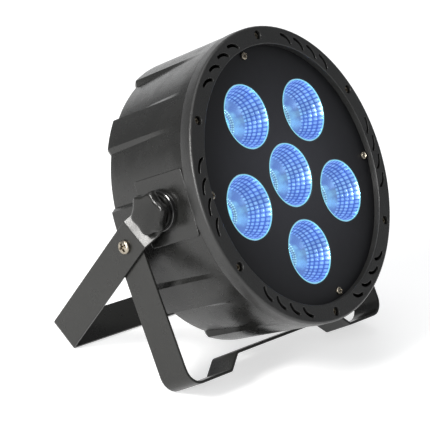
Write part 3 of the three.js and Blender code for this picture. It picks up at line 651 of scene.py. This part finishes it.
def add_reflector(index):
    """Bowl of rings and spokes of slightly pillowed facets, with a thin rolled rim."""
    x, z = LAMPS[index]
    rim, nose, base, rear = 23.4, 5.7, 9.5, 31
    facets_round, facets_deep, fine = 40, 11, 4
    steps_round = facets_round * fine
    mesher = Mesher()
    outside = [(rim + 2.2, 9.3), (rim + 2.2, 7.8), (rim, 7.8), (rim, nose + 0.2),
               (rim - 0.1, nose + 0.03), (rim - 0.35, nose), (rim - 0.6, nose + 0.08)]
    mesher.join([mesher.ring(circle(r, d - nose, steps_round)) for r, d in outside])
    # lit holds each point's painted light, stored as the facets' attribute: 1 on the outer rim, lighter facet
    # centres with darker edges and a random share per facet, 0.3 on the back.
    lit = [1.0] * len(mesher.points)
    rows = []
    for row in range(facets_deep * fine + 1):
        share = 1 - row / (facets_deep * fine)
        radius = base + (rim - 0.7 - base) * share
        depth = rear + (nose + 0.15 - rear) * share ** 2
        loop = []
        for step in range(steps_round):
            turn = 2 * math.pi * step / steps_round
            pillow = (math.sin(math.pi * (row % fine) / fine)
                      * math.sin(math.pi * (step % fine) / fine))
            r = radius - 0.2 * pillow
            loop.append((r * math.cos(turn), depth - nose - 0.12 * pillow, r * math.sin(turn)))
            key = (row // fine) * 131 + (step // fine) * 71 + index * 17
            uneven = (math.sin(key * 12.9898) * 43758.5453) % 1
            lit.append(pillow ** 0.7 * (0.55 + 0.45 * uneven))
        rows.append(mesher.ring(loop))
    back = mesher.ring(circle(base + 2.2, rear - nose, steps_round))
    mesher.join([*rows, back, mesher.ring(circle(rim + 2.2, 9.3 - nose, steps_round))])
    lit += [0.3] * (2 * steps_round)
    mesh = bpy.data.meshes.new(f"bowl_{index + 1}")
    mesh.from_pydata([point * MM for point in mesher.points], [], mesher.faces)
    facet_painted_light = mesh.attributes.new("facet_painted_light", "FLOAT", "POINT")
    facet_painted_light.data.foreach_set("value", lit)
    mesh.shade_smooth()
    mesh.set_sharp_from_angle(angle=math.radians(40))
    mesh.materials.append(looks["reflector_metallised"])
    bowl = bpy.data.objects.new(f"bowl_{index + 1}", mesh)
    bpy.context.scene.collection.objects.link(bowl)
    bowl.matrix_world = CAN @ shift(x, nose, z) @ Matrix.Scale(1 / MM, 4)
    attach(bowl, "housing")
    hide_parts(f"reflector_{index + 1}")


def add_led(index):
    x, z = LAMPS[index]
    mesher = Mesher()
    lathe(mesher, [(0, 30.6), (3, 30.62), (6, 30.8), (7.2, 31.0), (7.6, 31.25), (8, 31.3),
                   (11, 31.3), (11, 32.5), (0, 32.5)], 48, x, z)
    make(f"led_window_{index + 1}", mesher, CAN, "housing", "led_emitter",
         [f"led_cob_{index + 1}"])


# ---------------------------------------------------------------- housing

RAISED = [(0, 24.8), (48, 60.6), (85.6, 94.6), (119.4, 132), (155, 180)]
STEP = 1.6


def panel_angles():
    """Angles from the top, fine near each step between a raised and a recessed panel."""
    angles = {float(angle) for angle in range(0, 181, 2)}
    for start, end in RAISED:
        for edge, sign in ((start, -1), (end, 1)):
            if 0 < edge < 180:
                angles |= {edge, edge + sign * STEP, edge - sign * 0.18, edge + sign * 0.18,
                           edge + sign * (STEP - 0.18), edge + sign * (STEP + 0.18)}
    ordered = []
    for angle in sorted(angles):
        if not ordered or angle - ordered[-1] > 0.1:
            ordered.append(angle)
    return ordered


def recess_share(angle):
    """How far the skin has stepped down from the nearest raised panel, from 0 to 1."""
    distance = min(max(start - angle, angle - end, 0) for start, end in RAISED)
    return min(distance / STEP, 1)


def add_housing():
    half = panel_angles()
    angles = [*half, *(360 - angle for angle in reversed(half[1:-1]))]
    mesher = Mesher()

    def skin_ring(depth, trim=0.0):
        loop = []
        slope = max(0.0, min(1.0, (depth - COLLAR) / (CAN_DEPTH - COLLAR)))
        for angle in angles:
            share = recess_share(angle if angle <= 180 else 360 - angle)
            radius = COLLAR_RADIUS - (RAISED_DROP + RECESS_DROP * share) * slope - trim
            turn = math.radians(90 - angle)
            x, z = radius * math.cos(turn), radius * math.sin(turn)
            if depth > 11 and abs(z) < PAD_HALF:
                x = math.copysign(min(abs(x), 107.9), x)
            loop.append((x, depth, z))
        return mesher.ring(loop)

    def plain_ring(radius, depth):
        return mesher.ring([(radius * math.cos(math.radians(90 - angle)), depth,
                             radius * math.sin(math.radians(90 - angle))) for angle in angles])

    rings = [plain_ring(98.7, 7.8), plain_ring(98.7, 10.3), skin_ring(10.3, 0.4),
             skin_ring(10.45, 0.12), skin_ring(10.8), skin_ring(11), skin_ring(11.05)]
    for step in range(0, 13):
        rings.append(skin_ring(COLLAR + (84.6 - COLLAR) * step / 12))
    rings += [skin_ring(84.9, 0.03), skin_ring(85.2, 0.25), skin_ring(87.5, 2.55),
              skin_ring(87.85, 2.95), skin_ring(88, 3.4), skin_ring(88, 3.7)]
    rings += [plain_ring(r, d) for r, d in (
        (93.5, 88), (93.3, 87.8), (93.3, 85), (82, 85), (82, 82.5), (100.4, 82.5), (104.4, 18),
        (104.4, 12.8), (87, 12.8), (87, 7.8), (98.7, 7.8))]
    mesher.join(rings)
    make("can_shell", mesher, CAN, "housing", "housing_plastic", ["housing"], sharp=28)
    for side, name in ((-1, "left"), (1, "right")):
        pad = Mesher()
        slab(pad, rounded_rectangle(PAD_LENGTH, PAD_HALF, 2.5), -PAD_FACE, -96, 0.7)
        make(f"pivot_pad_{name}", pad, CAN @ shift(0, PAD_DEPTH, 0) @ toward_side(-side),
             "housing", "housing_plastic")


# ---------------------------------------------------------------- yokes


def fillet(points, radii, steps=6):
    """Line through the points with its inner corners rounded."""
    line = [points[0]]
    for before, at, after, radius in zip(points, points[1:], points[2:], radii):
        inward, outward = (before - at).normalized(), (after - at).normalized()
        half = math.acos(max(-1.0, min(1.0, inward.dot(outward)))) / 2
        reach = radius / math.tan(half)
        centre = at + (inward + outward).normalized() * (radius / math.sin(half))
        start, end = at + inward * reach - centre, at + outward * reach - centre
        sweep = math.atan2(start.x * end.y - start.y * end.x, start.dot(end))
        for step in range(steps + 1):
            turn = Matrix.Rotation(sweep * step / steps, 2)
            line.append(centre + turn @ start)
    line.append(points[-1])
    return line


def strap_section(half_width, radius=0.45, support=0.2, steps=3):
    """Rounded cross-section of the strap: across its width, and down from its outer face."""
    radius = min(radius, 0.8 * half_width)
    support = min(support, 0.1 * half_width)
    section = []
    for sy, st, first in ((1, 0, 90), (1, 1, 0), (-1, 1, -90), (-1, 0, -180)):
        centre = (sy * (half_width - radius), radius if st == 0 else STRAP_THICKNESS - radius)
        arc = []
        for step in range(steps + 1):
            turn = math.radians(first - 90 * step / steps)
            arc.append((centre[0] + radius * math.cos(turn), centre[1] - radius * math.sin(turn)))
        lead, tail = arc[0], arc[-1]
        section.append(shifted_in(lead, first, support))
        section.extend(arc)
        section.append(shifted_in(tail, first - 90, -support))
    return section


def shifted_in(point, degrees, distance):
    """Point moved back along the flat that meets the arc there."""
    turn = math.radians(degrees)
    return (point[0] - distance * math.sin(turn), point[1] - distance * math.cos(turn))


def sweep_strap(mesher, line):
    """Strap whose outer face follows a line in the XZ plane, with half-round ends."""
    lengths = [0.0]
    for first, second in zip(line, line[1:]):
        lengths.append(lengths[-1] + (second - first).length)
    total, half = lengths[-1], STRAP / 2
    arch = [half * (1 - math.cos(math.radians(turn))) for turn in (4, 12, 22, 33, 45, 57, 68, 79)]
    stations = sorted({*arch, *(total - s for s in arch),
                       *(s for s in lengths if half <= s <= total - half)})
    rings = []
    for station in stations:
        index = max(i for i in range(len(line) - 1) if lengths[i] <= station + 1e-9)
        span = line[index + 1] - line[index]
        point = line[index] + span * ((station - lengths[index]) / span.length)
        normals = [Vector((-span.y, span.x)).normalized()]
        if index and abs(station - lengths[index]) < 1e-6:
            back = line[index] - line[index - 1]
            normals.append(Vector((-back.y, back.x)).normalized())
        normal = sum(normals, Vector((0, 0)))
        normal = normal / normal.dot(normals[0]) if len(normals) > 1 else normal
        from_end = min(station, total - station)
        width = half if from_end >= half else math.sqrt(half ** 2 - (half - from_end) ** 2)
        rings.append(mesher.ring([
            (point.x + normal.x * t, y, point.y + normal.y * t)
            for y, t in strap_section(width)]))
    mesher.join(rings)
    mesher.cap(rings[0])
    mesher.cap(rings[-1])


def drill(mesh, matrix, holes):
    """Cuts round holes, each a radius and the two ends of its axis in the local frame."""
    target = bpy.data.objects.new("drilled", mesh)
    bpy.context.scene.collection.objects.link(target)
    tools = []
    for radius, start, end in holes:
        start, end = Vector(start), Vector(end)
        axis = (end - start).normalized()
        side = axis.orthogonal().normalized()
        across = axis.cross(side)
        count = 48
        loops = [[end_point + radius * (math.cos(turn) * side + math.sin(turn) * across)
                  for turn in (2 * math.pi * index / count for index in range(count))]
                 for end_point in (start, end)]
        tool = bpy.data.meshes.new("drill")
        faces = [(i, (i + 1) % count, count + (i + 1) % count, count + i) for i in range(count)]
        tool.from_pydata([matrix @ point for loop in loops for point in loop], [],
                         [*faces, tuple(range(count)), tuple(range(2 * count - 1, count - 1, -1))])
        cutter = bpy.data.objects.new("drill", tool)
        bpy.context.scene.collection.objects.link(cutter)
        tools.append(cutter)
        modifier = target.modifiers.new("hole", "BOOLEAN")
        modifier.operation = "DIFFERENCE"
        modifier.solver = "EXACT"
        modifier.object = cutter
    bpy.context.view_layer.update()
    shown = target.evaluated_get(bpy.context.evaluated_depsgraph_get())
    result = bpy.data.meshes.new_from_object(shown)
    for extra in (target, *tools):
        bpy.data.objects.remove(extra)
    return result


def strap_mesh(name, half_line, radii, matrix, holes):
    mirrored = [Vector((-point.x, point.y)) for point in reversed(half_line)]
    line = fillet([*half_line, *mirrored], [*radii, *reversed(radii)])
    mesher = Mesher()
    sweep_strap(mesher, line)
    mesh = bpy.data.meshes.new(name)
    mesh.from_pydata([matrix @ point for point in mesher.points], [], mesher.faces)
    clean = bmesh.new()
    clean.from_mesh(mesh)
    bmesh.ops.recalc_face_normals(clean, faces=clean.faces)
    clean.to_mesh(mesh)
    clean.free()
    return drill(mesh, matrix, holes)


def arm_holes(radius, z):
    """The pair of holes through both arms at one height."""
    return [(radius, (-130, 0, z), (-105, 0, z)), (radius, (105, 0, z), (130, 0, z))]


def add_yokes():
    top = STRAP / 2
    arm = [Vector((-MAIN_PIVOT_FACE, top)), Vector((-MAIN_PIVOT_FACE, JOGGLE_START)),
           Vector((-MAIN_FACE, JOGGLE_END)), Vector((-MAIN_FACE, -MAIN_REACH))]
    mesh = strap_mesh("main_strap", arm, [2.6, 2.6, 3], MAIN, [
        *arm_holes(PIVOT_HOLE, 0), *arm_holes(STRAP_SCREW_HOLE, -STAND_OFFSET),
        (CLAMP_HOLE, (0, 0, -MAIN_REACH - 5), (0, 0, -MAIN_REACH + 5))])
    register("main_strap", mesh, "main_yoke", "strap_paint", ["main_yoke"], sharp=28)
    arm = [Vector((-STAND_FACE, top)), Vector((-STAND_FACE, -STAND_REACH)),
           Vector((-RAISE_OUTER, -STAND_REACH)),
           Vector((-RAISE_INNER, -STAND_REACH + RAISE_HEIGHT))]
    mesh = strap_mesh("stand_strap", arm, [13, 3, 3], STAND, arm_holes(STRAP_SCREW_HOLE, 0))
    register("stand_strap", mesh, "stand_yoke", "strap_paint", ["stand_yoke"], sharp=28)


# ---------------------------------------------------------------- pivots and knobs


def star_ring(depth, inset, blend, count):
    """Six-lobed outline at one depth, blended towards a circle."""
    loop = []
    for turn in (2 * math.pi * index / count for index in range(count)):
        wave = 0.5 - 0.5 * math.cos(6 * turn)
        radius = KNOB_RADIUS - 0.05 - 2.4 * wave ** 0.75 - inset
        radius += (KNOB_RADIUS - inset - radius) * blend
        loop.append((radius * math.cos(turn), depth, radius * math.sin(turn)))
    return loop


def add_knob(side, name):
    count = 144
    mesher = Mesher()
    rings = [mesher.ring(circle(r, d, count)) for r, d in ((4.3, 0), (8.6, 0), (9, 0.4), (9, 2.4))]
    levels = [(2.4, 5.5, 0), (2.4, 2.0, 0), (2.5, 1.2, 0), (2.8, 0.75, 0), (3.3, 0.3, 0),
              (3.9, 0.1, 0), (5.5, 0.05, 0), (7.2, 0.2, 0), (8.0, 0.5, 0), (8.6, 1.0, 0),
              (9.0, 1.7, 0), (9.25, 2.4, 0.05), (9.35, 3.0, 0.15), (9.45, 4.2, 0.3),
              (9.55, 6.0, 0.5), (9.65, 9.0, 0.8)]
    rings += [mesher.ring(star_ring(*level, count)) for level in levels]
    rings += [mesher.ring(circle(r, d, count)) for r, d in ((5, 9.72), (2.5, 9.76), (0.4, 9.78))]
    mesher.join(rings)
    mesher.cap(rings[-1])
    matrix = PIVOT @ shift(side * KNOB_SEAT, 0, 0) @ toward_side(side)
    make(f"star_knob_{name}", mesher, matrix, f"knob_{name}", "knob_plastic", [f"knob_{name}"],
         sharp=40)


def add_washer(side, name):
    mesher = Mesher()
    profile = [(4.6, 0), (14, 0), (14.45, 0.15), (14.6, 0.6), (14.6, 3), (14.45, 3.7),
               (14.0, 4), (13.7, 4), (4.6, 4)]
    lathe(mesher, profile, 96, close=True)
    matrix = PIVOT @ shift(side * WASHER_SEAT, 0, 0) @ toward_side(side)
    make(f"pivot_disc_{name}", mesher, matrix, "housing", "washer_plastic",
         [f"pivot_washer_{name}"])


# ---------------------------------------------------------------- rear

REAR = CAN @ shift(y=COVER_FACE) @ Matrix.Rotation(math.pi, 4, "Z")
SOCKET_X, SOCKET_Z, INLET_Z, SCREEN_Z, BUTTON_Z = 52, -28, -60, 52, 30
EYE_Z, EYE_HALF = 72, 9
FUSE_AT = (-36, -59)
BUTTON_XS = [-16 * (index - 1.5) for index in range(4)]
SOCKET_RIM = [(0, 21.3), (11, 21.3), (11, -0.3), (13, -0.3), (13, -1.8), (12.85, -2.1),
              (12.4, -2.3)]


def add_rear_cover():
    mesher = Mesher()
    rims = [mesher.ring(circle(COVER_RADIUS - inset, depth, 180))
            for inset, depth in [*rounding(0.5), (0, 2)]]
    mesher.join(rims)
    holes = [round_outline(3.7, x, BUTTON_Z) for x in BUTTON_XS]
    holes += [round_outline(11.5, side * SOCKET_X, SOCKET_Z, 64) for side in (-1, 1)]
    holes += [round_outline(2.7, side * EYE_HALF, EYE_Z) for side in (-1, 1)]
    holes += [round_outline(2.1, *polar(REAR_SCREW_CIRCLE, angle), 16)
              for angle in REAR_SCREW_ANGLES]
    holes += [round_outline(6.6, *FUSE_AT), rounded_rectangle(17.3, 8.3, 0.8, 0, SCREEN_Z),
              rounded_rectangle(13.8, 10.3, 0.8, 0, INLET_Z)]
    edges = [hole_edge(mesher, hole, 0, 2, 0.25) for hole in holes]
    mesher.sheet([rims[0], *(near for near, _ in edges)])
    mesher.sheet([rims[-1], *(far for _, far in edges)])
    make("cover_plate", mesher, REAR, "housing", "cover_paint", ["rear_cover"])


def add_sockets():
    pins = [polar(5.6, angle) for angle in (30, 150, 270)]
    mesher = Mesher()
    lathe(mesher, [*SOCKET_RIM, (10.2, -2.3), (9.6, -2.15), (9.3, -1.8), (9.3, 11.7), (0, 11.7)],
          64, SOCKET_X, SOCKET_Z)
    for x, z in pins:
        lathe(mesher, [(0, 11.9), (1.2, 11.9), (1.2, 1.9), (0.9, 1.35), (0.5, 1.2), (0, 1.2)],
              20, SOCKET_X - x, SOCKET_Z + z)
    make("pin_socket", mesher, REAR, "housing", "connector_plastic", ["dmx_in"])
    mesher = Mesher()
    outer = [*SOCKET_RIM, (10.5, -2.3), (10.2, -2), (10.2, 9.7), (8.2, 9.7), (8.2, -1),
             (7.9, -1.3)]
    rings = [mesher.ring(circle(max(radius, 0.01), depth, 64, -SOCKET_X, SOCKET_Z))
             for radius, depth in outer]
    mesher.join(rings)
    mesher.cap(rings[0])
    faces = []
    for x, z in pins:
        near, far = hole_edge(mesher, round_outline(1.4, -SOCKET_X - x * 0.9, SOCKET_Z + z * 0.9,
                                                    20), -1.3, 6, 0.2)
        mesher.cap(far)
        faces.append(near)
    mesher.sheet([rings[-1], *faces])
    make("sleeve_socket", mesher, REAR, "housing", "connector_plastic", ["dmx_out"])


def shrunk(corners, x, z):
    """Outline of a polygon round a centre, each corner moved in towards it by the inset."""
    def outline(inset):
        points = []
        for px, pz in corners:
            reach = math.hypot(px, pz)
            points.append((x + px * (1 - inset / reach), z + pz * (1 - inset / reach)))
        return points
    return outline


def add_inlet():
    mesher = Mesher()
    ears = [(25, 7), (14.5, 12), (-14.5, 12), (-25, 7), (-25, -7), (-14.5, -12), (14.5, -12),
            (25, -7)]
    mouth = [(12, 3.5), (8, 8), (-8, 8), (-12, 3.5), (-12, -8), (12, -8)]
    levels = [(inset, -2.7 + depth) for inset, depth in rounding(0.6)] + [(0, -0.3)]
    rim = shrunk(ears, 0, INLET_Z)
    rings = [mesher.ring([(x, depth, z) for x, z in rim(inset)]) for inset, depth in levels]
    mesher.join(rings)
    near, far = hole_edge(mesher, shrunk(mouth, 0, INLET_Z), -2.7, 14.7, 0.4)
    mesher.cap(far)
    mesher.sheet([rings[0], near])
    body = rounded_rectangle(13.5, 10, 0.6, 0, INLET_Z)
    walls = [mesher.ring([(x, depth, z) for x, z in body(0)]) for depth in (-0.3, 23.3)]
    mesher.join(walls)
    mesher.cap(walls[1])
    mesher.sheet([rings[-1], walls[0]])
    for x, z in ((-7, -2), (0, 2), (7, -2)):
        slab(mesher, rounded_rectangle(1, 2, 0.3, x, INLET_Z + z), 1.7, 14.9, 0.3)
    make("mains_socket", mesher, REAR, "housing", "connector_plastic", ["power_inlet"])


def add_rear_small():
    mesher = Mesher()
    profile = [(0, 21.3), (6.2, 21.3), (6.2, -0.3), (8, -0.3), (8, -1.6), (7.7, -1.9), (6.6, -1.9),
               (6.25, -2.3), (6.1, -4.8), (5.9, -5.15), (5.5, -5.3)]
    rings = [mesher.ring(circle(max(radius, 0.01), depth, 48, *FUSE_AT))
             for radius, depth in profile]
    mesher.join(rings)
    mesher.cap(rings[0])
    near, far = hole_edge(mesher, rounded_rectangle(4.3, 0.6, 0.3, *FUSE_AT), -5.3, -4.1, 0.1)
    mesher.cap(far)
    mesher.sheet([rings[-1], near])
    make("fuse_cap", mesher, REAR, "housing", "connector_plastic", ["fuse_holder"])
    for index, x in enumerate(BUTTON_XS):
        mesher = Mesher()
        lathe(mesher, [(0, 7.1), (1.8, 7.1), (1.8, 4.7), (4.8, 4.7), (4.8, 2.3), (3.4, 2.3),
                       (3.4, -1.35), (3.28, -1.65), (2.95, -1.8), (2.2, -1.74), (1.1, -1.62),
                       (0, -1.58)], 40, x, BUTTON_Z)
        make(f"button_cap_{index + 1}", mesher, REAR, f"menu_button_{index + 1}",
             "button_plastic", [f"menu_button_{index + 1}"])
    mesher = Mesher()
    slab(mesher, rounded_rectangle(17, 8, 0.7, 0, SCREEN_Z), -0.4, 1.4, 0.3)
    slab(mesher, rounded_rectangle(20, 11, 0.7, 0, SCREEN_Z), 2.3, 3.5, 0.1)
    slab(mesher, rounded_rectangle(15, 6, 0.7, 0, SCREEN_Z), 1.3, 5.3, 0.1)
    make("screen_glass", mesher, REAR, "housing", "display_glass", ["display_window"])


def add_eye():
    half, wire, arc_start, arc_height = EYE_HALF, 2.35, -11, 8.85
    leg = (6, 2, -3, -7.5)
    path = [(-half, depth) for depth in leg]
    for turn in (math.pi * step / 20 for step in range(21)):
        path.append((-half * math.cos(turn), arc_start - arc_height * math.sin(turn)))
    path += [(half, depth) for depth in reversed(leg)]
    mesher = Mesher()
    rings = []
    for index, (x, depth) in enumerate(path):
        before, after = path[max(index - 1, 0)], path[min(index + 1, len(path) - 1)]
        along = Vector((after[0] - before[0], after[1] - before[1])).normalized()
        ring = []
        for step in range(20):
            turn = 2 * math.pi * step / 20
            reach = wire * math.cos(turn)
            ring.append((x - along.y * reach, depth + along.x * reach,
                         EYE_Z + wire * math.sin(turn)))
        rings.append(mesher.ring(ring))
    mesher.join(rings)
    mesher.cap(rings[0])
    mesher.cap(rings[-1])
    for side in (-1, 1):
        lathe(mesher, [(0, 7), (4.1, 7), (4.4, 6.6), (4.4, 2.7), (4.1, 2.3), (0, 2.3)], 6,
              side * half, EYE_Z)
    make("wire_eye", mesher, REAR, "housing", "steel", ["safety_eye"])


# ---------------------------------------------------------------- assembly

add_bezel()
add_screws()
add_panel()
for lamp in range(len(LAMPS)):
    add_reflector(lamp)
    add_led(lamp)
add_housing()
add_yokes()
for side_sign, side_name in ((-1, "left"), (1, "right")):
    add_knob(side_sign, side_name)
    add_washer(side_sign, side_name)
add_rear_cover()
add_sockets()
add_inlet()
add_rear_small()
add_eye()
